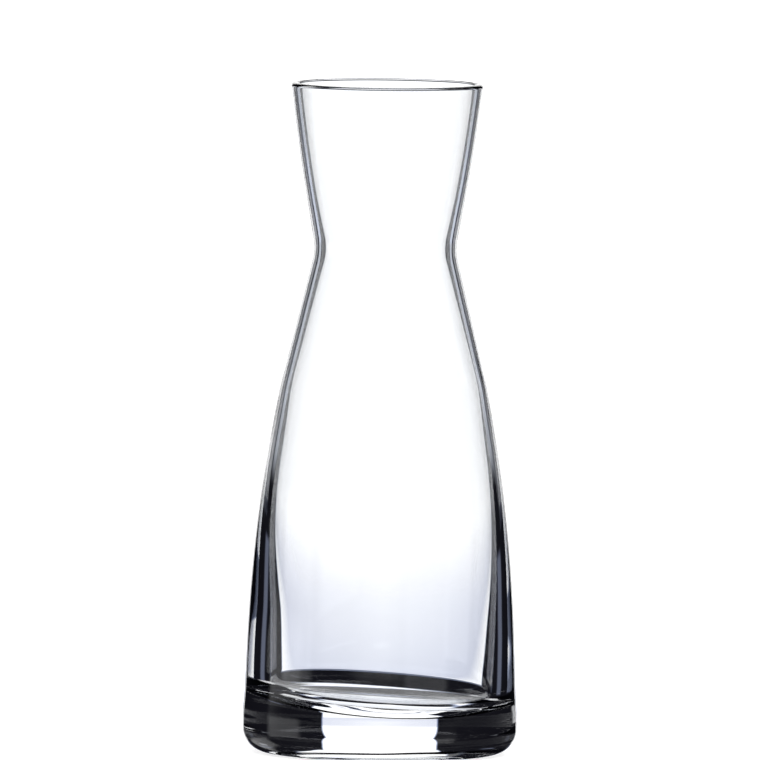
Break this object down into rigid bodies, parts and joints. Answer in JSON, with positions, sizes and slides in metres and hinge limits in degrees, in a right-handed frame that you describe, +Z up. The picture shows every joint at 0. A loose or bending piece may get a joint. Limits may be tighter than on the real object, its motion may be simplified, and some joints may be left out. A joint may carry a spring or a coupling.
{
  "type": "water carafe",
  "caption": "Clear glass carafe with a flared open mouth, a narrow waist and a long body that swells down to a thick solid base.",
  "frame": {"origin": "centre of the foot ring, in the plane of the surface that the carafe stands on", "axes": "+Z up along the carafe's axis, from the foot ring to the mouth; +X and +Y are any two square directions, since the form is turned"},
  "size_m": [0.1084, 0.1082, 0.264],
  "materials": {
    "clear_glass": "clear, smooth, melted edges"
  },
  "bodies": {
    "root": {"glass_body": "clear_glass"}
  },
  "joints": []
}
